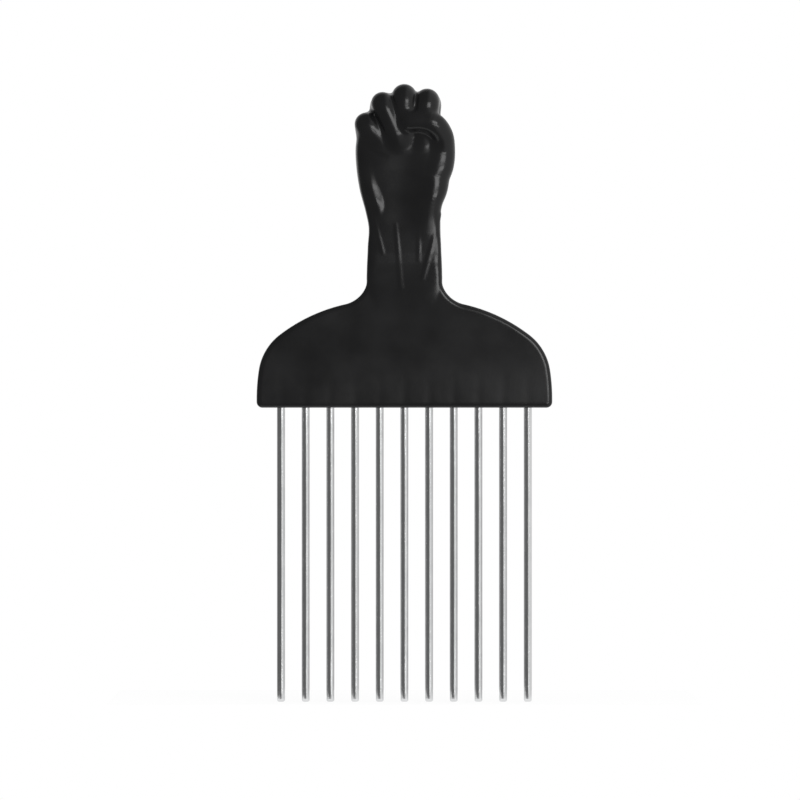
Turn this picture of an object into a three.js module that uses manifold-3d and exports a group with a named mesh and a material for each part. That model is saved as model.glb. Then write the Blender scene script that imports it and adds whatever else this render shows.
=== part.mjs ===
// Hair pick: a moulded handle, shaped as a raised fist on a half-moon base, with a row of steel tines.
// The front of the pick, with the palm and the curled fingers, faces -Y, and the fist points up +Z.
import * as THREE from "three";
import { mergeVertices } from "three/addons/utils/BufferGeometryUtils.js";
import Module from "manifold-3d";

// Tines, in millimetres
const TINE_COUNT = 11;
const TINE_PITCH = 6.68;
const TINE_DIAMETER = 2.2;
const TINE_REACH = 79.6; // from the underside of the base to the tip
const TIP_ROUNDING = 0.6;
const ROOT_DEPTH = 12.0; // of a tine inside the base
const WAIST_DEPTH = 0.25; // rolled groove that the plastic fills
const WAIST_LENGTH = 3.0;
const WAIST_START = 5.0; // above the underside of the base
const BORE_CLEARANCE = 0.05;
const TINE_SIDES = 12;
const TIP_STEPS = 2;

// Half-moon base: the outline runs up each end, over a shoulder and a crown, and a fillet meets the forearm
const END_MARGIN = 6.6; // from the outer tine's axis to the end of the base
const BASE_THICKNESS = 7.0;
const BASE_EDGE_ROUNDING = 1.3;
const BASE_EDGE_STEPS = 3;
const BASE_ARC_STEPS = 6;
const BASE_CORNER_RADIUS = 1.6;
const BASE_END_HEIGHT = 2.45; // where the end starts to curve in, above the underside
const BASE_END_RADIUS = 51.0;
const BASE_END_TURN = THREE.MathUtils.degToRad(8.8);
const BASE_SHOULDER_RADIUS = 14.8;
const BASE_SHOULDER_TURN = THREE.MathUtils.degToRad(43.7);
const BASE_CROWN_RADIUS = 45.3;
const NECK_FILLET_RADIUS = 6.7;
const NECK_TONGUE = 7.0; // how far the base's own outline runs up inside the forearm
const NECK_TONGUE_TAPER = 2.0;

// Forearm and hand
const FOREARM_WIDTH = 20.0;
const WRIST_HEIGHT = 49.0; // above the underside of the base
const GRIP_HEIGHT = 42.0; // middle of the forearm, the part's origin
const ARM_FRONT_SIDES = 50;
const ARM_BACK_SIDES = 26;
const ARM_STEPS = 40;
const LIMB_SIDES = 16;
const SPAN_STEPS = 3; // of a limb's curve between two of its points
const JOINT_BEND = 5.2; // length of a finger's bend on each side of a joint
const BEND_STEPS = 5;
const DOME_STEPS = 3;
const DOME_TURN = THREE.MathUtils.degToRad(77); // where a dome's last ring lies

const tineRadius = TINE_DIAMETER / 2;
const rowHalf = ((TINE_COUNT - 1) * TINE_PITCH) / 2;
const baseHalf = rowHalf + END_MARGIN;
const forearmHalf = FOREARM_WIDTH / 2;

const plastic = () => new THREE.MeshStandardMaterial({ color: 0x1b1b1c, roughness: 0.25, metalness: 0 });
const steel = () => new THREE.MeshStandardMaterial({ color: 0xc9cbce, roughness: 0.15, metalness: 1 });

// Sections of the arm at heights above the wrist, with the reach to each side, to the front and to the back.
// A power of 2 is an ellipse, and more is squarer.
const ARM_SECTIONS = [
  { height: -30, left: forearmHalf - 1, right: forearmHalf - 1, front: 2.4, back: 2.4, power: 5 },
  { height: -22, left: forearmHalf - 0.1, right: forearmHalf - 0.1, front: 3.7, back: 3.7, power: 4.4 },
  { height: -14, left: forearmHalf, right: forearmHalf, front: 5.0, back: 4.9, power: 3.6 },
  { height: -6, left: forearmHalf - 0.05, right: forearmHalf - 0.05, front: 5.9, back: 5.8, power: 3.2 },
  { height: 0, left: forearmHalf - 0.3, right: forearmHalf - 0.3, front: 6.4, back: 6.3, power: 3.1 },
  { height: 4, left: forearmHalf + 0.5, right: forearmHalf - 0.3, front: 6.6, back: 6.5, power: 3.1 },
  { height: 10, left: 12.1, right: 11.2, front: 7.3, back: 7.1, power: 3.3 },
  { height: 16, left: 13.0, right: 12.6, front: 8.1, back: 7.7, power: 3.7 },
  { height: 22.5, left: 13.2, right: 12.3, front: 8.0, back: 8.3, power: 3.7 },
  { height: 27, left: 12.2, right: 10.8, front: 6.9, back: 8.4, power: 3.2 },
  { height: 31, left: 9.8, right: 9.4, front: 6.8, back: 8.0, power: 3.2 },
  { height: 34.6, left: 7.6, right: 8.4, front: 6.4, back: 6.4, power: 3.2 },
  { height: 37, left: 3.4, right: 4.6, front: 2.4, back: 3.4, power: 2.8 },
];

// Relief on the arm: each form follows its side offsets at heights above the wrist, and fades at both ends.
// In front, the ball of the thumb, the palm's outer edge, the heel of the hand and four tendons of the wrist.
const FRONT_RELIEF = [
  { route: [[3.0, -7], [6.0, 12], [7.6, 25]], width: 5.0, rise: 0.9 },
  { route: [[-5.4, -9], [-7.0, 9], [-7.0, 24]], width: 5.5, rise: 0.4 },
  { route: [[-6.4, -6], [-8.8, 8], [-9.8, 24]], width: 2.6, rise: 1.4 },
  { route: [[-8.6, 7], [-7.2, -0.5], [-5.2, -11]], width: 1.9, rise: 0.7 },
  { route: [[-3.0, 6], [-1.8, -4], [-0.8, -18]], width: 1.9, rise: 0.7 },
  { route: [[4.1, 13], [3.9, -1], [3.6, -14]], width: 1.9, rise: 0.65 },
  { route: [[9.2, 6], [7.4, -5], [4.2, -18]], width: 1.9, rise: 0.8 },
];
// Behind, the tendons to the index, middle, ring and little fingers' knuckles
const BACK_RELIEF = [
  { route: [[2.4, 0], [4.0, 18], [6.2, 40]], width: 1.9, rise: 0.7 },
  { route: [[0.8, 0], [0.6, 18], [0.2, 41]], width: 1.9, rise: 0.7 },
  { route: [[-0.8, 0], [-3.0, 18], [-5.2, 40]], width: 1.9, rise: 0.7 },
  { route: [[-2.4, 0], [-6.2, 16], [-9.8, 35]], width: 1.9, rise: 0.6 },
];

// Index, middle, ring and little finger: each runs from the back of the hand up to its knuckle, over the top
// to its middle joint, and down the front to the end that is pressed into the palm
const FINGERS = [
  { radius: 3.25, joints: [[4.4, 4.4, 20.0], [6.3, 6.3, 34.2], [6.5, -7.6, 34.2], [5.0, -6.6, 24.2]] },
  { radius: 3.3, joints: [[0.4, 4.8, 20.0], [0.2, 6.8, 35.4], [-0.1, -8.0, 35.4], [0.4, -7.0, 24.6]] },
  { radius: 3.1, joints: [[-3.6, 4.6, 19.0], [-5.4, 6.5, 33.6], [-6.1, -7.6, 33.6], [-2.3, -7.7, 23.7]] },
  { radius: 2.95, joints: [[-7.4, 4.2, 15.0], [-9.8, 5.8, 28.4], [-11.0, -6.9, 28.2], [-5.2, -7.2, 22.0]] },
];

// The thumb from its ball, inside the hand, up the side and over the fingers
const THUMB = [
  { at: [4.0, -0.8, 5.0], radius: 4.4 },
  { at: [6.7, -2.1, 12.5], radius: 4.9 },
  { at: [9.25, -4.3, 19.0], radius: 4.4 },
  { at: [9.7, -6.6, 24.0], radius: 3.5 },
  { at: [8.1, -9.0, 27.7], radius: 3.1 },
  { at: [4.8, -10.1, 28.6], radius: 2.8 },
  { at: [1.6, -9.9, 28.3], radius: 2.5 },
];

const wasm = await Module();
wasm.setup();

// Closed geometry to a solid that can be joined and cut
function toSolid(geometry) {
  const bare = geometry.clone();
  bare.deleteAttribute("normal");
  bare.deleteAttribute("uv");
  const merged = mergeVertices(bare, 1e-5);
  return new wasm.Manifold(new wasm.Mesh({
    numProp: 3,
    vertProperties: new Float32Array(merged.attributes.position.array),
    triVerts: new Uint32Array(merged.index.array),
  }));
}

function toGeometry(solid) {
  const mesh = solid.getMesh();
  const geometry = new THREE.BufferGeometry();
  geometry.setAttribute("position", new THREE.BufferAttribute(new Float32Array(mesh.vertProperties), 3));
  geometry.setIndex(new THREE.BufferAttribute(new Uint32Array(mesh.triVerts), 1));
  geometry.computeVertexNormals();
  return geometry;
}

// Skin over a stack of rings of equal count, closed by a fan onto the middle of the first and the last ring
function loft(rings) {
  const sides = rings[0].length;
  const middles = [rings[0], rings.at(-1)].map((ring) =>
    ring.reduce((sum, point) => sum.add(point), new THREE.Vector3()).divideScalar(sides));
  const points = [...rings.flat(), ...middles];
  const first = points.length - 2;
  const last = points.length - 1;
  const top = (rings.length - 1) * sides;
  const faces = [];
  for (let side = 0; side < sides; side += 1) {
    const next = (side + 1) % sides;
    for (let row = 0; row < top; row += sides) {
      faces.push(row + side, row + next, row + sides + next);
      faces.push(row + side, row + sides + next, row + sides + side);
    }
    faces.push(first, next, side);
    faces.push(last, top + side, top + next);
  }
  const geometry = new THREE.BufferGeometry().setFromPoints(points);
  geometry.setIndex(faces);
  return geometry;
}

// Round limb of changing thickness through its points, with domed ends. Its rings turn as little as they can.
function limb(points) {
  const last = points.length - 1;
  const along = points.map((_, index) => {
    const before = points[Math.max(index - 1, 0)].at;
    return points[Math.min(index + 1, last)].at.clone().sub(before).normalize();
  });
  const sides = [];
  along.forEach((direction, index) => {
    const side = index === 0 ? new THREE.Vector3(1, 0, 0) : sides[index - 1].clone();
    sides.push(side.projectOnPlane(direction).normalize());
  });
  const ring = (index, shift, radius) => Array.from({ length: LIMB_SIDES }, (_, corner) => {
    const turn = (corner / LIMB_SIDES) * 2 * Math.PI;
    return sides[index].clone().multiplyScalar(radius).applyAxisAngle(along[index], turn)
      .addScaledVector(along[index], shift)
      .add(points[index].at);
  });
  const dome = (index, direction) => Array.from({ length: DOME_STEPS }, (_, step) => {
    const angle = ((step + 1) / DOME_STEPS) * DOME_TURN;
    const { radius } = points[index];
    return ring(index, direction * radius * Math.sin(angle), radius * Math.cos(angle));
  });
  const body = points.map(({ radius }, index) => ring(index, 0, radius));
  return loft([...dome(0, -1).reverse(), ...body, ...dome(last, 1)]);
}

// Limb on a smooth curve through its points
function curvedLimb(points) {
  const curve = new THREE.CatmullRomCurve3(points.map(({ at }) => new THREE.Vector3(...at)));
  const radii = new THREE.SplineCurve(points.map(({ radius }, index) => new THREE.Vector2(index, radius)));
  const steps = (points.length - 1) * SPAN_STEPS;
  return limb(Array.from({ length: steps + 1 }, (_, step) => ({
    at: curve.getPoint(step / steps),
    radius: radii.getPoint(step / steps).y,
  })));
}

// The arm's section at a height above the wrist, on smooth curves through the listed sections
const armCurve = Object.fromEntries(["left", "right", "front", "back", "power"].map((reach) => [
  reach,
  new THREE.SplineCurve(ARM_SECTIONS.map((section) => new THREE.Vector2(section.height, section[reach]))),
]));

function armSectionAt(share) {
  const reaches = Object.entries(armCurve).map(([reach, curve]) => [reach, curve.getPoint(share).y]);
  return { height: armCurve.left.getPoint(share).x, ...Object.fromEntries(reaches) };
}

// How far a relief form lifts the surface at a side offset and height
function liftOf({ route, width, rise }, x, height) {
  const [start, end] = [route[0][1], route.at(-1)[1]];
  const share = (height - start) / (end - start);
  if (share <= 0 || share >= 1) {
    return 0;
  }
  const middles = new THREE.SplineCurve(route.map(([side, up]) => new THREE.Vector2(side, up)));
  const middle = middles.getPoint(share).x;
  return rise * Math.sin(Math.PI * share) ** 2 * Math.exp(-(((x - middle) / width) ** 2));
}

// One point of an arm section: its side offset by the angle, its depth by the superellipse and the relief
function armPoint(section, angle) {
  const across = Math.cos(angle);
  const x = across * (across > 0 ? section.right : section.left);
  const depth = Math.max(1 - Math.abs(across) ** section.power, 0) ** (1 / section.power);
  const inFront = Math.sin(angle) < 0;
  const relief = inFront ? FRONT_RELIEF : BACK_RELIEF;
  const lift = relief.reduce((sum, form) => sum + liftOf(form, x, section.height), 0);
  const y = depth * ((inFront ? section.front : section.back) + lift);
  return new THREE.Vector3(x, inFront ? -y : y, section.height);
}

function armGeometry() {
  const back = Array.from({ length: ARM_BACK_SIDES }, (_, side) => (side / ARM_BACK_SIDES) * Math.PI);
  const front = Array.from({ length: ARM_FRONT_SIDES }, (_, side) => (1 + side / ARM_FRONT_SIDES) * Math.PI);
  return loft(Array.from({ length: ARM_STEPS + 1 }, (_, step) => {
    const section = armSectionAt(step / ARM_STEPS);
    return [...back, ...front].map((angle) => armPoint(section, angle));
  }));
}

// A finger: straight bones with a bend at each joint between them
function fingerGeometry({ radius, joints }) {
  const places = joints.map((at) => new THREE.Vector3(...at));
  const bends = places.slice(1, -1).flatMap((joint, index) => {
    const [from, to] = [places[index], places[index + 2]].map((place) =>
      place.clone().sub(joint).setLength(JOINT_BEND).add(joint));
    return new THREE.QuadraticBezierCurve3(from, joint, to).getPoints(BEND_STEPS);
  });
  return limb([places[0], ...bends, places.at(-1)].map((at) => ({ at, radius })));
}

// Right half of the base's outline, as arcs that run on into each other, mirrored for the left half
function baseOutline() {
  const shape = new THREE.Shape();
  const arcs = [];
  const corner = { x: baseHalf - BASE_CORNER_RADIUS, y: BASE_CORNER_RADIUS, radius: BASE_CORNER_RADIUS };
  arcs.push({ ...corner, from: -Math.PI / 2, to: 0 });
  let heading = 0;
  let x = baseHalf;
  let y = BASE_END_HEIGHT;
  for (const [radius, turn] of [
    [BASE_END_RADIUS, BASE_END_TURN],
    [BASE_SHOULDER_RADIUS, BASE_SHOULDER_TURN],
  ]) {
    const centre = { x: x - radius * Math.cos(heading), y: y - radius * Math.sin(heading) };
    arcs.push({ ...centre, radius, from: heading, to: heading + turn });
    heading += turn;
    x = centre.x + radius * Math.cos(heading);
    y = centre.y + radius * Math.sin(heading);
  }
  const crown = {
    x: x - BASE_CROWN_RADIUS * Math.cos(heading),
    y: y - BASE_CROWN_RADIUS * Math.sin(heading),
    radius: BASE_CROWN_RADIUS,
  };
  const filletX = forearmHalf + NECK_FILLET_RADIUS;
  const reach = BASE_CROWN_RADIUS + NECK_FILLET_RADIUS;
  const filletY = crown.y + Math.sqrt(reach ** 2 - (filletX - crown.x) ** 2);
  const meeting = Math.atan2(filletY - crown.y, filletX - crown.x);
  arcs.push({ ...crown, from: heading, to: meeting });
  arcs.push({ x: filletX, y: filletY, radius: NECK_FILLET_RADIUS, from: meeting + Math.PI, to: Math.PI });
  for (const arc of arcs) {
    shape.absarc(arc.x, arc.y, arc.radius, arc.from, arc.to, arc.to < arc.from);
  }
  const tongueHalf = forearmHalf - NECK_TONGUE_TAPER;
  const tongueTop = filletY + NECK_TONGUE;
  const tongueBend = filletY + NECK_TONGUE / 2;
  shape.quadraticCurveTo(forearmHalf, tongueBend, tongueHalf, tongueTop);
  shape.lineTo(-tongueHalf, tongueTop);
  shape.quadraticCurveTo(-forearmHalf, tongueBend, -forearmHalf, filletY);
  for (const arc of arcs.reverse()) {
    shape.absarc(-arc.x, arc.y, arc.radius, Math.PI - arc.to, Math.PI - arc.from, arc.to < arc.from);
  }
  return shape;
}

function baseGeometry() {
  const geometry = new THREE.ExtrudeGeometry(baseOutline(), {
    depth: BASE_THICKNESS - 2 * BASE_EDGE_ROUNDING,
    bevelThickness: BASE_EDGE_ROUNDING,
    bevelSize: BASE_EDGE_ROUNDING,
    bevelOffset: -BASE_EDGE_ROUNDING,
    bevelSegments: BASE_EDGE_STEPS,
    curveSegments: BASE_ARC_STEPS,
  });
  geometry.translate(0, 0, BASE_EDGE_ROUNDING - BASE_THICKNESS / 2);
  return geometry.rotateX(Math.PI / 2);
}

// Profile of a tine from its root to the underside of the base, grown by a clearance for its bore
function rootProfile(clearance) {
  const radius = tineRadius + clearance;
  const waist = radius - WAIST_DEPTH;
  const waistTop = WAIST_START + WAIST_LENGTH;
  return [
    [0, ROOT_DEPTH + clearance],
    [radius, ROOT_DEPTH + clearance],
    [radius, waistTop + WAIST_DEPTH],
    [waist, waistTop],
    [waist, WAIST_START],
    [radius, WAIST_START - WAIST_DEPTH],
  ];
}

function revolve(profile) {
  const points = profile.map(([radius, height]) => new THREE.Vector2(radius, height));
  return new THREE.LatheGeometry(points.reverse(), TINE_SIDES).rotateX(Math.PI / 2);
}

function boreGeometry() {
  const below = -BASE_CORNER_RADIUS;
  return revolve([...rootProfile(BORE_CLEARANCE), [tineRadius + BORE_CLEARANCE, below], [0, below]]);
}

function tineGeometry() {
  const tip = Array.from({ length: TIP_STEPS + 1 }, (_, index) => {
    const angle = (index / TIP_STEPS) * (Math.PI / 2);
    const radius = tineRadius - TIP_ROUNDING * (1 - Math.cos(angle));
    return [radius, -TINE_REACH + TIP_ROUNDING * (1 - Math.sin(angle))];
  });
  return revolve([...rootProfile(0), ...tip, [0, -TINE_REACH]]);
}

const tinePlaces = Array.from({ length: TINE_COUNT }, (_, index) => index * TINE_PITCH - rowHalf);

function handleGeometry() {
  let solid = toSolid(baseGeometry());
  const hand = [armGeometry(), ...FINGERS.map(fingerGeometry), curvedLimb(THUMB)];
  for (const form of hand) {
    solid = solid.add(toSolid(form.translate(0, 0, WRIST_HEIGHT)));
  }
  for (const x of tinePlaces) {
    solid = solid.subtract(toSolid(boreGeometry().translate(x, 0, 0)));
  }
  return toGeometry(solid);
}

const pick = new THREE.Group();
pick.position.z = -GRIP_HEIGHT;

const handle = new THREE.Mesh(handleGeometry(), plastic());
handle.name = "handle";
pick.add(handle);

tinePlaces.forEach((x, index) => {
  const tine = new THREE.Mesh(tineGeometry(), steel());
  tine.name = `tine_${String(index + 1).padStart(2, "0")}`;
  tine.position.x = x;
  pick.add(tine);
});

const part = new THREE.Group();
part.add(pick);

export default part;
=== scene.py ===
"""Looks of a hair pick: a glossy black handle shaped as a raised fist, and a row of steel tines."""

import math

import bpy
import numpy as np
import openvdb
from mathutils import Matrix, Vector


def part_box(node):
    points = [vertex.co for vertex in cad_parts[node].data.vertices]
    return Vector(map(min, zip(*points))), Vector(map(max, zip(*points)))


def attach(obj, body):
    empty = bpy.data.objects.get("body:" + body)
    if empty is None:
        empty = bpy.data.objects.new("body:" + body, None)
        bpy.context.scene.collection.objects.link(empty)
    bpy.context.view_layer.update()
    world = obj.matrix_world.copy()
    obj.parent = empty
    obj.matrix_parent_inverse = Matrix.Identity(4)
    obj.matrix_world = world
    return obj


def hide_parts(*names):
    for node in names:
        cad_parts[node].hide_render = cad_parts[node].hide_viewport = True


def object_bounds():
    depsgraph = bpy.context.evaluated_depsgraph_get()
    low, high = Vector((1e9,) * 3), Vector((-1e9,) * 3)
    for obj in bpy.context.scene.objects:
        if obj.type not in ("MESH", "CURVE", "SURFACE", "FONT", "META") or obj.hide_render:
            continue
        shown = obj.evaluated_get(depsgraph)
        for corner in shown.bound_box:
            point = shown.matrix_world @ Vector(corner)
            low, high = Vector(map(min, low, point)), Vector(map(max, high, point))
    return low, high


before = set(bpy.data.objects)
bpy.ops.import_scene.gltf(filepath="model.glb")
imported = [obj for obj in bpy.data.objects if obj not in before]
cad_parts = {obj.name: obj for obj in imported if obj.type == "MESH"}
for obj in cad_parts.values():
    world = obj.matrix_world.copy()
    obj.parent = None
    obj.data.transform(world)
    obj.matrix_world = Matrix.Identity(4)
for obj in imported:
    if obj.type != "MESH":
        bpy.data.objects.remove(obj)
cad_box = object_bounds()

# Lengths in this script are millimetres until a mesh is made
MM = 0.001
handle_low, handle_high = (np.array(corner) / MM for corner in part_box("handle"))
UNDERSIDE = handle_low[2]  # of the base, in the frame
TINES = sorted(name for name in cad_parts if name.startswith("tine_"))
tine_boxes = {name: [np.array(corner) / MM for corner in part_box(name)] for name in TINES}
tine_places = [(low[0] + high[0]) / 2 for low, high in tine_boxes.values()]
tine_root = max(high[2] for low, high in tine_boxes.values()) - UNDERSIDE
tine_radius = max(high[0] - low[0] for low, high in tine_boxes.values()) / 2

# Half-moon base: each end rises in three arcs that run on into each other
BASE_HALF = handle_high[0]
BASE_THICKNESS = 7.0
BASE_EDGE_ROUNDING = 1.3
BASE_CORNER_RADIUS = 1.6
BASE_END_HEIGHT = 2.45  # where an end's first arc begins
BASE_END_RADIUS = 51.0
BASE_END_TURN = math.radians(8.8)
BASE_SHOULDER_RADIUS = 14.8
BASE_SHOULDER_TURN = math.radians(43.7)
BASE_CROWN_RADIUS = 45.3
NECK_FILLET = 6.0  # how far from the forearm the fillet on the base begins
NECK_HALF = 10.05
NECK_TOP = 44.0  # the base's own outline runs up to here inside the forearm
NECK_TAPER = 0.16  # how fast it narrows
NECK_TAPER_FOOT = 35.0  # height at which it begins to
NECK_BLEND = 1.4
# Height, and half the thickness: the base swells towards the forearm, then sinks into it
BASE_DEPTHS = [
    (0.0, BASE_THICKNESS / 2),
    (12.0, BASE_THICKNESS / 2),
    (24.0, 4.1),
    (31.0, 4.7),
    (36.0, 5.05),
    (40.0, 5.2),
    (42.5, 4.0),
    (44.0, 2.0),
]
SINK_DEPTH = 0.035  # of the shallow mark that the moulding has over each tine's root
SINK_WIDTH = 1.3
SINK_HEIGHT = 11.0

# Tines
TINE_SIDES = 48
TIP_ROUNDING = 0.6
TIP_STEPS = 8
PIN_END = 0.2  # length of the stretch at each end that keeps the shading straight
BORE_CLEARANCE = 0.05
BORE_LIP = 0.15

# Forearm and hand: heights are above the wrist, and the front of the hand is towards -Y
WRIST_HEIGHT = 49.0  # above the underside of the base
ARM_FOOT = -26.0
ARM_TOP = 34.8
# Height, reach to the left, right, front and back, and power: 2 is an ellipse, more is squarer
ARM_SECTIONS = [
    (-26.0, 7.0, 7.0, 2.0, 2.0, 4.0),
    (-20.0, 8.0, 8.0, 3.7, 3.6, 9.0),
    (-14.0, 9.7, 9.7, 5.0, 4.9, 12.0),
    (-6.0, 9.95, 9.95, 5.9, 5.8, 12.0),
    (0.0, 9.7, 9.6, 6.4, 6.3, 10.0),
    (4.0, 10.5, 9.3, 6.6, 6.5, 9.0),
    (10.0, 12.1, 10.4, 7.3, 7.1, 6.0),
    (16.0, 13.0, 12.3, 8.1, 7.7, 5.0),
    (22.5, 13.1, 12.3, 8.0, 8.3, 4.6),
    (27.0, 12.0, 10.8, 6.4, 8.4, 3.4),
    (31.0, 9.3, 9.2, 5.0, 8.0, 3.2),
    (34.6, 7.2, 7.8, 4.8, 6.4, 3.2),
    (37.0, 3.4, 4.6, 2.4, 3.4, 2.8),
]
FRONT_RELIEF = [  # route of side offset and height, width, rise
    ([(4.0, -7.0), (7.5, 10.0), (9.6, 26.0)], 4.6, 0.8),  # pad at the thumb's root
    ([(-5.4, -9.0), (-7.0, 9.0), (-7.0, 24.0)], 5.5, 0.25),  # pad below the little finger
    ([(-11.0, 20.2), (-8.0, 19.8), (-4.0, 18.6)], 0.5, -0.25),  # crease across the palm
]
BACK_RELIEF = [  # one tendon to each finger
    ([(2.4, 0.0), (4.0, 18.0), (6.2, 40.0)], 1.5, 0.7),
    ([(0.8, 0.0), (0.6, 18.0), (0.2, 41.0)], 1.5, 0.7),
    ([(-0.8, 0.0), (-3.0, 18.0), (-5.2, 40.0)], 1.5, 0.7),
    ([(-2.4, 0.0), (-6.2, 16.0), (-9.8, 35.0)], 1.5, 0.6),
]
RELIEF_STEPS = 10
RELIEF_REACH = 2.5  # widths from its route at which a form has faded out
LEAST_SLOPE = 0.02  # this and the next keep distances finite on the arm's axis
LEAST_TOTAL = 1e-9
TENDON_RADIUS = 1.0
TENDONS = [  # rise above the arm's front, and route of side offset and height
    (0.07, [(-8.0, 2.4), (-7.2, -1.5), (-5.8, -7.0)]),
    (0.03, [(-2.3, 0.5), (-1.9, -4.0), (-0.9, -16.0)]),
    (0.04, [(3.9, 8.0), (3.9, -1.0), (3.9, -9.0)]),
    (0.1, [(8.6, 3.0), (8.1, -1.5), (7.0, -6.5), (5.5, -12.0), (4.9, -14.0)]),
]
TENDON_CREASE = 0.3
TENDON_STEPS = 16
FINGERS = [  # radius, then side, depth and height of a point in the hand, knuckle, bend, fold and tip
    (3.4, [
        (4.4, 4.4, 20.0), (6.2, 5.3, 33.2), (6.1, -7.9, 34.0),
        (5.0, -6.2, 24.4), (3.8, -2.2, 23.2),
    ]),
    (3.35, [
        (0.4, 4.8, 20.0), (0.2, 5.8, 34.4), (-0.1, -7.7, 35.3),
        (0.4, -6.6, 24.8), (0.9, -2.6, 23.6),
    ]),
    (3.1, [
        (-3.6, 4.6, 19.0), (-5.6, 5.5, 32.6), (-6.0, -7.3, 33.4),
        (-1.8, -7.2, 24.2), (-0.9, -3.0, 23.2),
    ]),
    (3.15, [
        (-7.4, 4.2, 15.0), (-9.4, 4.8, 27.2), (-10.5, -6.3, 27.8),
        (-5.4, -4.7, 23.0), (-3.2, -1.6, 22.2),
    ]),
]
JOINT_BEND = 2.2  # how far from a joint its bend begins
BEND_STEPS = 8
THUMB = [  # side, depth, height and radius, from the root inside the wrist to the tip over the fingers
    (5.4, -2.8, 0.0, 2.0),
    (7.0, -5.0, 6.5, 2.3),
    (8.5, -5.2, 10.3, 2.85),
    (9.3, -4.65, 13.5, 2.6),
    (10.0, -5.05, 16.9, 3.3),
    (10.3, -5.25, 20.7, 3.4),
    (10.2, -7.5, 24.5, 3.0),
    (8.1, -9.7, 27.5, 3.0),
    (5.0, -9.9, 28.5, 2.8),
    (1.6, -9.9, 28.3, 2.5),
]
HEEL = [  # in the same way, the hand's outer edge, below the little finger
    (-6.4, -3.4, 1.5, 1.4),
    (-7.5, -5.7, 6.2, 1.5),
    (-8.6, -6.2, 9.5, 1.55),
    (-9.3, -6.1, 12.0, 1.6),
    (-10.2, -5.2, 20.0, 2.0),
]
CURL = [  # flesh inside the first finger's curl, on the thumb's side
    (6.0, -3.3, 31.4, 2.9),
    (6.0, -3.6, 28.6, 2.9),
]
LIMB_STEPS = 48
FINGER_CREASE = 1.0  # how softly neighbouring fingers meet
PALM_CREASE = 2.6
BACK_CREASE = 2.2
PALM_TO_BACK = (-4.0, 4.0)  # depths between which the one turns into the other
HEEL_CREASE = 1.1
THUMB_ROOT_CREASE = 3.5
THUMB_CREASE = 1.6
THUMB_ROOT_TO_MIDDLE = (8.0, 20.0)  # heights between which the one turns into the other

# Grid that the handle's skin is made on
VOXEL = 0.3
MARGIN = 1.2  # left round the handle
BLOCK = 4  # voxels to a side of the blocks that are sorted into near and far
NEAR = 7.0  # voxels from the surface within which a block is worked out in full
FAR = 4.0  # millimetres from a limb past which its distance no longer matters
NOWHERE = 50.0  # distance that stands for none
BAND = 3.0  # voxels each side of the surface that the volume keeps
LEAST_SQUARE = 0.25  # of a slope, so that no point is moved too far


# Solids as distances

def smooth_union(a, b, blend):
    """Union with a soft crease of that width."""
    near = np.maximum(blend - np.abs(a - b), 0.0) / blend
    return np.minimum(a, b) - near * near * blend / 4


def round_union(a, b, radius):
    """Union with a fillet of that radius in the corner between the two."""
    inner = np.hypot(np.maximum(radius - a, 0.0), np.maximum(radius - b, 0.0))
    return np.maximum(radius, np.minimum(a, b)) - inner


def round_meet(a, b, radius):
    """What two solids share, with the edge between them rounded."""
    outer = np.hypot(np.maximum(a + radius, 0.0), np.maximum(b + radius, 0.0))
    return np.minimum(-radius, np.maximum(a, b)) + outer


def smooth_path(points, steps):
    """Points along a smooth curve through the given ones."""
    points = np.array(points, float)
    padded = np.vstack([2 * points[0] - points[1], points, 2 * points[-1] - points[-2]])
    shares = np.linspace(0, len(points) - 1, steps)
    index = np.minimum(shares.astype(int), len(points) - 2)
    t = (shares - index)[:, None]
    p, q, r, s = (padded[index + k] for k in range(4))
    bend = p - 2.5 * q + 2 * r - s / 2
    twist = 1.5 * q - p / 2 - 1.5 * r + s / 2
    return q + (r - p) * t / 2 + bend * t**2 + twist * t**3


def smooth_curve(places, values, at):
    """Values between listed ones, without corners."""
    places = np.array(places, float)
    values = np.array(values, float)
    slopes = np.gradient(values, places)
    index = np.clip(np.searchsorted(places, at) - 1, 0, len(places) - 2)
    span = places[index + 1] - places[index]
    t = np.clip((at - places[index]) / span, 0.0, 1.0)
    rest = 1 - t
    ends = values[index] * (1 + 2 * t) * rest**2 + values[index + 1] * (1 + 2 * rest) * t**2
    return ends + span * (slopes[index] * t * rest**2 - slopes[index + 1] * rest * t**2)


def limb(points, path):
    """Round limb along a path of side, depth, height and radius."""
    low = (path[:, :3] - path[:, 3:]).min(0) - FAR
    high = (path[:, :3] + path[:, 3:]).max(0) + FAR
    near = ((points > low) & (points < high)).all(1)
    close = points[near]
    nearest = np.full(len(close), np.inf)
    for start, end in zip(path[:-1], path[1:]):
        bone = end[:3] - start[:3]
        offset = close - start[:3]
        share = np.clip(offset @ bone / (bone @ bone), 0.0, 1.0)
        offset -= share[:, None] * bone
        away = np.sqrt(np.einsum("ij,ij->i", offset, offset))
        nearest = np.minimum(nearest, away - start[3] - share * (end[3] - start[3]))
    distance = np.full(len(points), NOWHERE)
    distance[near] = nearest
    return distance


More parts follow.
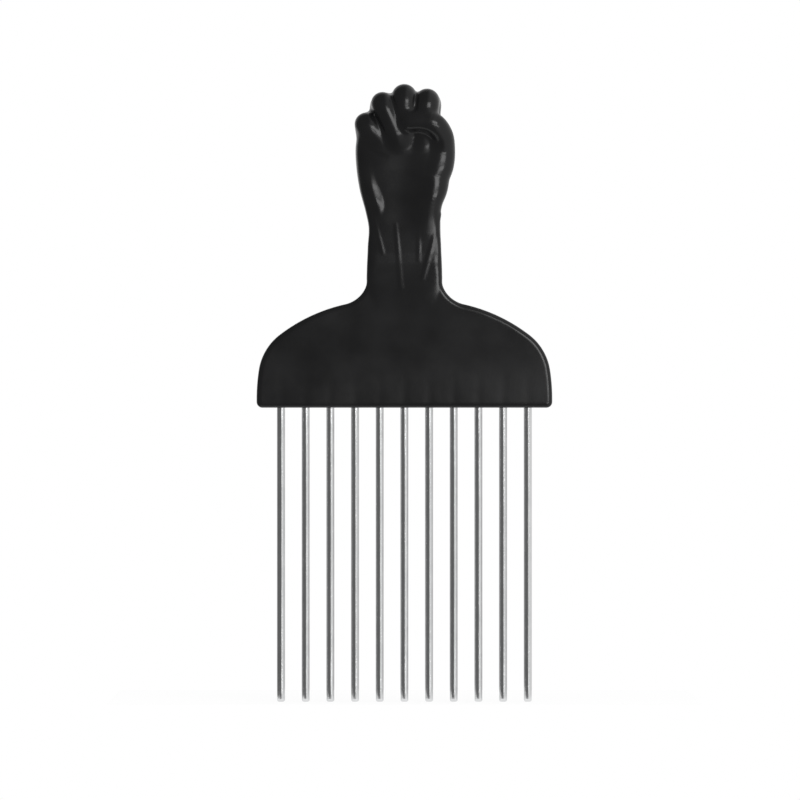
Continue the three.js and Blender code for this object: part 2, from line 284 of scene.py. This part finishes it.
def base_outline(x, z):
    """Distance to the base's outline, seen from the front."""
    side = np.abs(x)
    heading = 0.0
    corner = np.array([BASE_HALF, BASE_END_HEIGHT])
    distance = side - BASE_HALF
    for radius, turn in (
        (BASE_END_RADIUS, BASE_END_TURN),
        (BASE_SHOULDER_RADIUS, BASE_SHOULDER_TURN),
        (BASE_CROWN_RADIUS, math.pi / 2),
    ):
        centre = corner - radius * np.array([math.cos(heading), math.sin(heading)])
        angle = np.arctan2(z - centre[1], side - centre[0])
        inside = (angle >= heading) | (angle < -math.pi / 2)
        distance = np.where(inside, np.hypot(side - centre[0], z - centre[1]) - radius, distance)
        heading += turn
        corner = centre + radius * np.array([math.cos(heading), math.sin(heading)])
    half = NECK_HALF - NECK_TAPER * np.maximum(z - NECK_TAPER_FOOT, 0.0)
    distance = round_union(distance, np.maximum(side - half, z - NECK_TOP), NECK_FILLET)
    return round_meet(distance, -z, BASE_CORNER_RADIUS)


def sink_marks(x, z):
    """Depth of the marks over the tines' roots."""
    fade = np.clip(1 - z / SINK_HEIGHT, 0.0, 1.0)
    depth = sum(np.exp(-(((x - place) / SINK_WIDTH) ** 2)) for place in tine_places)
    return SINK_DEPTH * fade * depth


def base(points):
    """Half-moon base."""
    x, y, z = points.T
    outline = base_outline(x, z) + BASE_EDGE_ROUNDING
    half = smooth_curve(*zip(*BASE_DEPTHS), z)
    faces = np.abs(y) - half + sink_marks(x, z) + BASE_EDGE_ROUNDING
    outer = np.hypot(np.maximum(outline, 0.0), np.maximum(faces, 0.0))
    return np.minimum(np.maximum(outline, faces), 0.0) + outer - BASE_EDGE_ROUNDING


def relief(route, width, rise, x, height):
    """How far one form raises the arm's surface. It fades at both ends of its route."""
    path = smooth_path(route, RELIEF_STEPS)
    nearest = np.full(len(x), np.inf)
    share = np.zeros_like(x)
    for index, (start, end) in enumerate(zip(path[:-1], path[1:])):
        step = end - start
        across = x - start[0]
        up = height - start[1]
        along = np.clip((across * step[0] + up * step[1]) / (step @ step), 0.0, 1.0)
        away = (across - along * step[0]) ** 2 + (up - along * step[1]) ** 2
        closer = away < nearest
        nearest[closer] = away[closer]
        share[closer] = index + along[closer]
    return rise * np.sin(math.pi * share / (RELIEF_STEPS - 1)) ** 2 * np.exp(-nearest / width**2)


def lift(forms, x, height):
    """How far all the relief forms of one side raise the surface."""
    total = np.zeros_like(x)
    for route, width, rise in forms:
        low = np.min(route, axis=0) - RELIEF_REACH * width
        high = np.max(route, axis=0) + RELIEF_REACH * width
        near = (x > low[0]) & (x < high[0]) & (height > low[1]) & (height < high[1])
        total[near] += relief(route, width, rise, x[near], height[near])
    return total


def arm_section(height):
    """Reach to the left, right, front and back, and power, on smooth curves through the sections."""
    heights, *columns = zip(*ARM_SECTIONS)
    return [smooth_curve(heights, column, height) for column in columns]


def arm(points):
    """Forearm and palm."""
    x, y, height = points.T
    left, right, front, back, power = arm_section(height)
    wide = np.where(x < 0, left, right)
    deep = np.where(y < 0, front, back)
    for side, forms in ((y < 0, FRONT_RELIEF), (y >= 0, BACK_RELIEF)):
        deep[side] += lift(forms, x[side], height[side])
    across = np.abs(x) / wide
    along = np.abs(y) / deep
    total = np.maximum(across**power + along**power, LEAST_TOTAL)
    slope = np.hypot(across ** (power - 1) / wide, along ** (power - 1) / deep)
    slope *= total ** (1 / power - 1)
    distance = (total ** (1 / power) - 1) / np.maximum(slope, LEAST_SLOPE)
    return np.maximum(distance, np.maximum(ARM_FOOT - height, height - ARM_TOP))


def front_of_arm(x, height):
    """How far the arm's front stands out at side offsets and heights, without its relief."""
    left, right, front, _, power = arm_section(height)
    across = np.abs(x) / np.where(x < 0, left, right)
    return front * (1 - across**power) ** (1 / power)


def tendon_path(rise, route):
    """A tendon that stands out of the arm's front, and sinks in at both ends."""
    x, height = smooth_path(route, TENDON_STEPS).T
    out = rise * np.sin(math.pi * np.linspace(0, 1, TENDON_STEPS))
    depth = TENDON_RADIUS - out - front_of_arm(x, height)
    return np.stack([x, depth, height, np.full_like(x, TENDON_RADIUS)], 1)


def finger_path(radius, joints):
    """Straight bones, with a short bend at each joint."""
    joints = np.array(joints)
    path = [joints[0]]
    for last, joint, after in zip(joints[:-2], joints[1:-1], joints[2:]):
        enter = joint + (last - joint) * JOINT_BEND / np.linalg.norm(last - joint)
        leave = joint + (after - joint) * JOINT_BEND / np.linalg.norm(after - joint)
        for t in np.linspace(0.0, 1.0, BEND_STEPS):
            path.append(enter * (1 - t) ** 2 + 2 * joint * t * (1 - t) + leave * t**2)
    path.append(joints[-1])
    return np.column_stack([path, np.full(len(path), radius)])


def hand(points):
    """Forearm and fist."""
    _, y, height = points.T
    fingers = np.full(len(points), NOWHERE)
    for radius, joints in FINGERS:
        fingers = smooth_union(fingers, limb(points, finger_path(radius, joints)), FINGER_CREASE)
    palm = smooth_union(arm(points), limb(points, smooth_path(HEEL, LIMB_STEPS)), HEEL_CREASE)
    palm = smooth_union(palm, limb(points, np.array(CURL)), PALM_CREASE)
    for tendon in TENDONS:
        palm = smooth_union(palm, limb(points, tendon_path(*tendon)), TENDON_CREASE)
    crease = np.interp(y, PALM_TO_BACK, (PALM_CREASE, BACK_CREASE))
    fist = smooth_union(palm, fingers, crease)
    crease = np.interp(height, THUMB_ROOT_TO_MIDDLE, (THUMB_ROOT_CREASE, THUMB_CREASE))
    return smooth_union(fist, limb(points, smooth_path(THUMB, LIMB_STEPS)), crease)


def bores(points):
    """Holes that the tines' roots sit in."""
    nearest = np.min([np.abs(points[:, 0] - place) for place in tine_places], axis=0)
    around = np.hypot(nearest, points[:, 1]) - tine_radius - BORE_CLEARANCE
    return np.maximum(around, points[:, 2] - tine_root)


def handle(points):
    """The whole moulding, with heights above the underside of the base."""
    height = points[:, 2]
    body = np.full(len(points), NOWHERE)
    low = height < WRIST_HEIGHT
    body[low] = base(points[low])
    high = height > WRIST_HEIGHT + ARM_FOOT - NECK_BLEND
    body[high] = smooth_union(body[high], hand(points[high] - (0, 0, WRIST_HEIGHT)), NECK_BLEND)
    body[low] = round_meet(body[low], -bores(points[low]), BORE_LIP)
    return body


def near_surface(solid, low, high):
    """Distances on a grid, worked out in full only near the surface."""
    blocks = np.ceil((high - low) / (VOXEL * BLOCK)).astype(int)
    middle = (BLOCK - 1) / 2
    axes = [low[k] + VOXEL * (np.arange(blocks[k]) * BLOCK + middle) for k in range(3)]
    middles = np.stack(np.meshgrid(*axes, indexing="ij"), -1).reshape(-1, 3)
    volume = solid(middles).reshape(blocks)
    for axis in range(3):
        volume = np.repeat(volume, BLOCK, axis)
    places = np.argwhere(np.abs(volume) < NEAR * VOXEL)
    volume[tuple(places.T)] = solid(low + places * VOXEL)
    return np.clip(volume, -BAND * VOXEL, BAND * VOXEL)


def settle(solid, points, rounds=2, step=0.02):
    """Moves points onto the surface along its slope."""
    for _ in range(rounds):
        changes = [solid(points + shift) - solid(points - shift) for shift in step * np.eye(3)]
        slope = np.stack(changes, 1) / (2 * step)
        square = np.maximum((slope * slope).sum(1), LEAST_SQUARE)
        points = points - np.clip(solid(points) / square, -VOXEL, VOXEL)[:, None] * slope
    return points


def skin(solid, low, high):
    """Points and quads of a solid's surface."""
    volume = near_surface(solid, low, high)
    grid = openvdb.FloatGrid(BAND * VOXEL)
    grid.copyFromArray(volume.astype(np.float32))
    points, quads = grid.convertToQuads(isovalue=0.0)
    return settle(solid, low + points.astype(float) * VOXEL), quads


# Meshes

def new_piece(name, points, faces, material, node):
    """A smooth piece that stands for a CAD node. Its points are in millimetres, in the frame."""
    mesh = bpy.data.meshes.new(name)
    mesh.from_pydata((np.array(points) * MM).tolist(), [], [list(face) for face in faces])
    mesh.validate()
    mesh.shade_smooth()
    mesh.materials.append(material)
    piece = bpy.data.objects.new(name, mesh)
    bpy.context.scene.collection.objects.link(piece)
    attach(piece, "root")
    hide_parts(node)


def lathe(profile, sides):
    """Points and faces of a profile of radius and height, turned and closed at both ends."""
    angles = np.arange(sides) * 2 * math.pi / sides
    points = [(r * math.cos(a), r * math.sin(a), z) for r, z in profile for a in angles]
    faces = []
    for row in range(len(profile) - 1):
        for side in range(sides):
            after = (side + 1) % sides
            low = row * sides
            high = low + sides
            faces.append((low + side, low + after, high + after, high + side))
    faces.append(tuple(range(sides))[::-1])
    faces.append(tuple(range((len(profile) - 1) * sides, len(profile) * sides)))
    return points, faces


def tine_profile(low, high):
    """Radius and height along a pin with a blunt tip that has a rounded edge."""
    profile = []
    for step in range(TIP_STEPS + 1):
        angle = math.pi / 2 * step / TIP_STEPS
        radius = tine_radius - TIP_ROUNDING * (1 - math.sin(angle))
        profile.append((radius, low + TIP_ROUNDING * (1 - math.cos(angle))))
    ends = (low + TIP_ROUNDING + PIN_END, high - PIN_END, high)
    return profile + [(tine_radius, end) for end in ends]


# Materials

class Shader:
    """A new material's node tree, with its main shader."""

    def __init__(self, name):
        self.material = bpy.data.materials.new(name)
        self.material.use_nodes = True
        self.tree = self.material.node_tree
        self.surface = self.tree.nodes["Principled BSDF"]
        self.place = self.node("ShaderNodeTexCoord").outputs["Object"]

    def node(self, kind, **inputs):
        made = self.tree.nodes.new(kind)
        for name, value in inputs.items():
            made.inputs[name].default_value = value
        return made

    def link(self, source, target):
        self.tree.links.new(source, target)

    def noise(self, scale, detail=2.0, stretch=(1.0, 1.0, 1.0)):
        """Noise over the object, with features of about one part in scale of a metre."""
        mapping = self.node("ShaderNodeMapping", Scale=stretch)
        self.link(self.place, mapping.inputs["Vector"])
        texture = self.node("ShaderNodeTexNoise", Scale=scale, Detail=detail)
        self.link(mapping.outputs["Vector"], texture.inputs["Vector"])
        return texture.outputs["Fac"]

    def ramp(self, source, low, high, start=0.3, end=0.7):
        """Colour or grey level that follows a texture."""
        ramp = self.tree.nodes.new("ShaderNodeValToRGB")
        for element, place, value in zip(ramp.color_ramp.elements, (start, end), (low, high)):
            element.position = place
            element.color = (*value, 1.0) if isinstance(value, tuple) else (value, value, value, 1.0)
        self.link(source, ramp.inputs["Fac"])
        return ramp.outputs["Color"]

    def bump(self, height, depth, normal=None):
        """Surface that a texture raises by up to the depth, over a coarser one if given."""
        bump = self.node("ShaderNodeBump", Distance=depth * MM)
        self.link(height, bump.inputs["Height"])
        if normal:
            self.link(normal, bump.inputs["Normal"])
        return bump.outputs["Normal"]

    def dress(self, colour, roughness, normal):
        """Links textures to the main shader, and gives the material."""
        for name, source in (("Base Color", colour), ("Roughness", roughness), ("Normal", normal)):
            self.link(source, self.surface.inputs[name])
        return self.material


def black_plastic():
    """Glossy moulded plastic, with a slight waviness and fine rub marks."""
    shader = Shader("black_plastic")
    shader.surface.inputs["Specular IOR Level"].default_value = 0.25
    wear = shader.noise(scale=90.0, detail=4.0)
    grain = shader.noise(scale=1800.0, detail=3.0)
    wave = shader.noise(scale=140.0)
    colour = shader.ramp(wear, low=(0.007, 0.007, 0.0072), high=(0.010, 0.010, 0.0103))
    roughness = shader.ramp(wear, low=0.17, high=0.23)
    normal = shader.bump(grain, depth=0.004, normal=shader.bump(wave, depth=0.03))
    return shader.dress(colour, roughness, normal)


def polished_steel():
    """Drawn wire, polished, with faint lines along its length."""
    shader = Shader("polished_steel")
    shader.surface.inputs["Metallic"].default_value = 1.0
    lines = shader.noise(scale=9000.0, detail=3.0, stretch=(1.0, 1.0, 0.012))
    cloud = shader.noise(scale=260.0, detail=3.0)
    colour = shader.ramp(cloud, low=(0.70, 0.705, 0.71), high=(0.77, 0.775, 0.78))
    roughness = shader.ramp(lines, low=0.06, high=0.12)
    normal = shader.bump(lines, depth=0.002)
    return shader.dress(colour, roughness, normal)


# The pick

plastic = black_plastic()
steel = polished_steel()

frame_shift = np.array([0.0, 0.0, UNDERSIDE])
points, quads = skin(handle, handle_low - frame_shift - MARGIN, handle_high - frame_shift + MARGIN)
new_piece("fist_handle", points + frame_shift, quads, plastic, "handle")

for name, (low, high) in tine_boxes.items():
    tine_points, tine_faces = lathe(tine_profile(low[2], high[2]), TINE_SIDES)
    middle = np.array([(low[0] + high[0]) / 2, (low[1] + high[1]) / 2, 0.0])
    new_piece(f"{name}_pin", np.array(tine_points) + middle, tine_faces, steel, name)


# Studio, in metres

FLOOR_SIZE = 0.16
FLOOR_FRONT = -0.03  # its front edge
FLOOR_GREY = 0.9
FLOOR_ROUGHNESS = 0.9
FLOOR_GLOW = 0.8  # share of the floor's brightness, as the camera sees it, that no shadow takes away
FLOOR_GLOW_LEVEL = 1.05
CAMERA_DISTANCE = 3.2
FRAME_WIDTH = 0.2166  # at the object
AIM = Vector((-0.0012, 0.0, UNDERSIDE * MM + 0.0021))  # near the middle of the base's underside
WORLD_LEVEL = 0.8  # of the light that falls on the object
# Axis, start and end of each change in the reflected room's brightness, and its levels there
ROOM_LEVELS = [
    ("X", 0.0, 0.5, 0.14, 0.8),
    ("Y", 0.35, 0.9, 0.0, 0.7),
]
LAMPS = [  # name, place, width and height, watts
    ("side_card", (0.165, -0.5, -0.005), (0.30, 0.07), 0.09),
    ("upper_key", (0.61, -1.37, 0.25), (0.72, 0.5), 7.5),
    ("lower_key", (0.61, -1.37, -0.37), (0.72, 0.34), 5.1),
]


def sees_background(tree):
    """1 for rays that should meet the bright background, straight or in a reflection."""
    path = tree.nodes.new("ShaderNodeLightPath")
    total = path.outputs["Is Camera Ray"]
    for name in ("Is Glossy Ray", "Is Transmission Ray"):
        add = tree.nodes.new("ShaderNodeMath")
        add.operation = "MAXIMUM"
        tree.links.new(total, add.inputs[0])
        tree.links.new(path.outputs[name], add.inputs[1])
        total = add.outputs["Value"]
    return total


def make_floor():
    """Small pale floor that takes a faint shadow, mostly behind the tines."""
    middle = (0.0, FLOOR_FRONT + FLOOR_SIZE / 2, cad_box[0][2])
    bpy.ops.mesh.primitive_plane_add(size=FLOOR_SIZE, location=middle)
    floor = bpy.context.object
    floor.name = "floor"
    material = bpy.data.materials.new("pale_floor")
    material.use_nodes = True
    tree = material.node_tree
    surface = tree.nodes["Principled BSDF"]
    surface.inputs["Base Color"].default_value = (FLOOR_GREY, FLOOR_GREY, FLOOR_GREY, 1.0)
    surface.inputs["Roughness"].default_value = FLOOR_ROUGHNESS
    surface.inputs["Specular IOR Level"].default_value = 0.0
    glow = tree.nodes.new("ShaderNodeEmission")
    glow.inputs["Strength"].default_value = FLOOR_GLOW_LEVEL
    mix = tree.nodes.new("ShaderNodeMixShader")
    mix.inputs["Fac"].default_value = FLOOR_GLOW
    tree.links.new(surface.outputs["BSDF"], mix.inputs[1])
    tree.links.new(glow.outputs["Emission"], mix.inputs[2])
    both = tree.nodes.new("ShaderNodeMixShader")
    tree.links.new(sees_background(tree), both.inputs["Fac"])
    tree.links.new(surface.outputs["BSDF"], both.inputs[1])
    tree.links.new(mix.outputs["Shader"], both.inputs[2])
    tree.links.new(both.outputs["Shader"], tree.nodes["Material Output"].inputs["Surface"])
    floor.data.materials.append(material)


def make_world():
    """White to the camera. In reflections the room is bright on the right and behind, dark elsewhere."""
    world = bpy.data.worlds.new("studio")
    bpy.context.scene.world = world
    world.use_nodes = True
    tree = world.node_tree
    room = tree.nodes["Background"]
    room.inputs["Color"].default_value = (WORLD_LEVEL, WORLD_LEVEL, WORLD_LEVEL, 1.0)
    white = tree.nodes.new("ShaderNodeBackground")
    white.inputs["Color"].default_value = (1.0, 1.0, 1.0, 1.0)
    studio = tree.nodes.new("ShaderNodeBackground")
    direction = tree.nodes.new("ShaderNodeSeparateXYZ")
    tree.links.new(tree.nodes.new("ShaderNodeTexCoord").outputs["Generated"], direction.inputs["Vector"])
    levels = []
    for axis, start, end, low, high in ROOM_LEVELS:
        level = tree.nodes.new("ShaderNodeMapRange")
        level.interpolation_type = "SMOOTHSTEP"
        for name, value in (("From Min", start), ("From Max", end), ("To Min", low), ("To Max", high)):
            level.inputs[name].default_value = value
        tree.links.new(direction.outputs[axis], level.inputs["Value"])
        levels.append(level.outputs["Result"])
    brightest = tree.nodes.new("ShaderNodeMath")
    brightest.operation = "MAXIMUM"
    tree.links.new(levels[0], brightest.inputs[0])
    tree.links.new(levels[1], brightest.inputs[1])
    tree.links.new(brightest.outputs["Value"], studio.inputs["Color"])
    path = tree.nodes.new("ShaderNodeLightPath")
    seen = room.outputs["Background"]
    looks = (("Is Glossy Ray", studio), ("Is Transmission Ray", white), ("Is Camera Ray", white))
    for ray, shader in looks:
        mix = tree.nodes.new("ShaderNodeMixShader")
        tree.links.new(path.outputs[ray], mix.inputs["Fac"])
        tree.links.new(seen, mix.inputs[1])
        tree.links.new(shader.outputs["Background"], mix.inputs[2])
        seen = mix.outputs["Shader"]
    tree.links.new(seen, tree.nodes["World Output"].inputs["Surface"])


def make_lamp(name, place, size, watts):
    """Area lamp that faces the object level."""
    lamp = bpy.data.lights.new(name, "AREA")
    lamp.shape = "RECTANGLE"
    lamp.size, lamp.size_y = size
    lamp.energy = watts
    holder = bpy.data.objects.new(name, lamp)
    holder.location = place
    holder.rotation_euler = Vector((-place[0], -place[1], 0.0)).to_track_quat("-Z", "Y").to_euler()
    bpy.context.scene.collection.objects.link(holder)


def make_camera():
    """Level camera in front of the palm."""
    camera = bpy.data.cameras.new("camera")
    camera.lens = camera.sensor_width * CAMERA_DISTANCE / FRAME_WIDTH
    holder = bpy.data.objects.new("camera", camera)
    holder.location = AIM + Vector((0, -CAMERA_DISTANCE, 0))
    holder.rotation_euler = (math.pi / 2, 0, 0)
    bpy.context.scene.collection.objects.link(holder)
    bpy.context.scene.camera = holder


make_floor()
make_world()
for lamp in LAMPS:
    make_lamp(*lamp)
make_camera()
bpy.context.scene.view_settings.view_transform = "Standard"
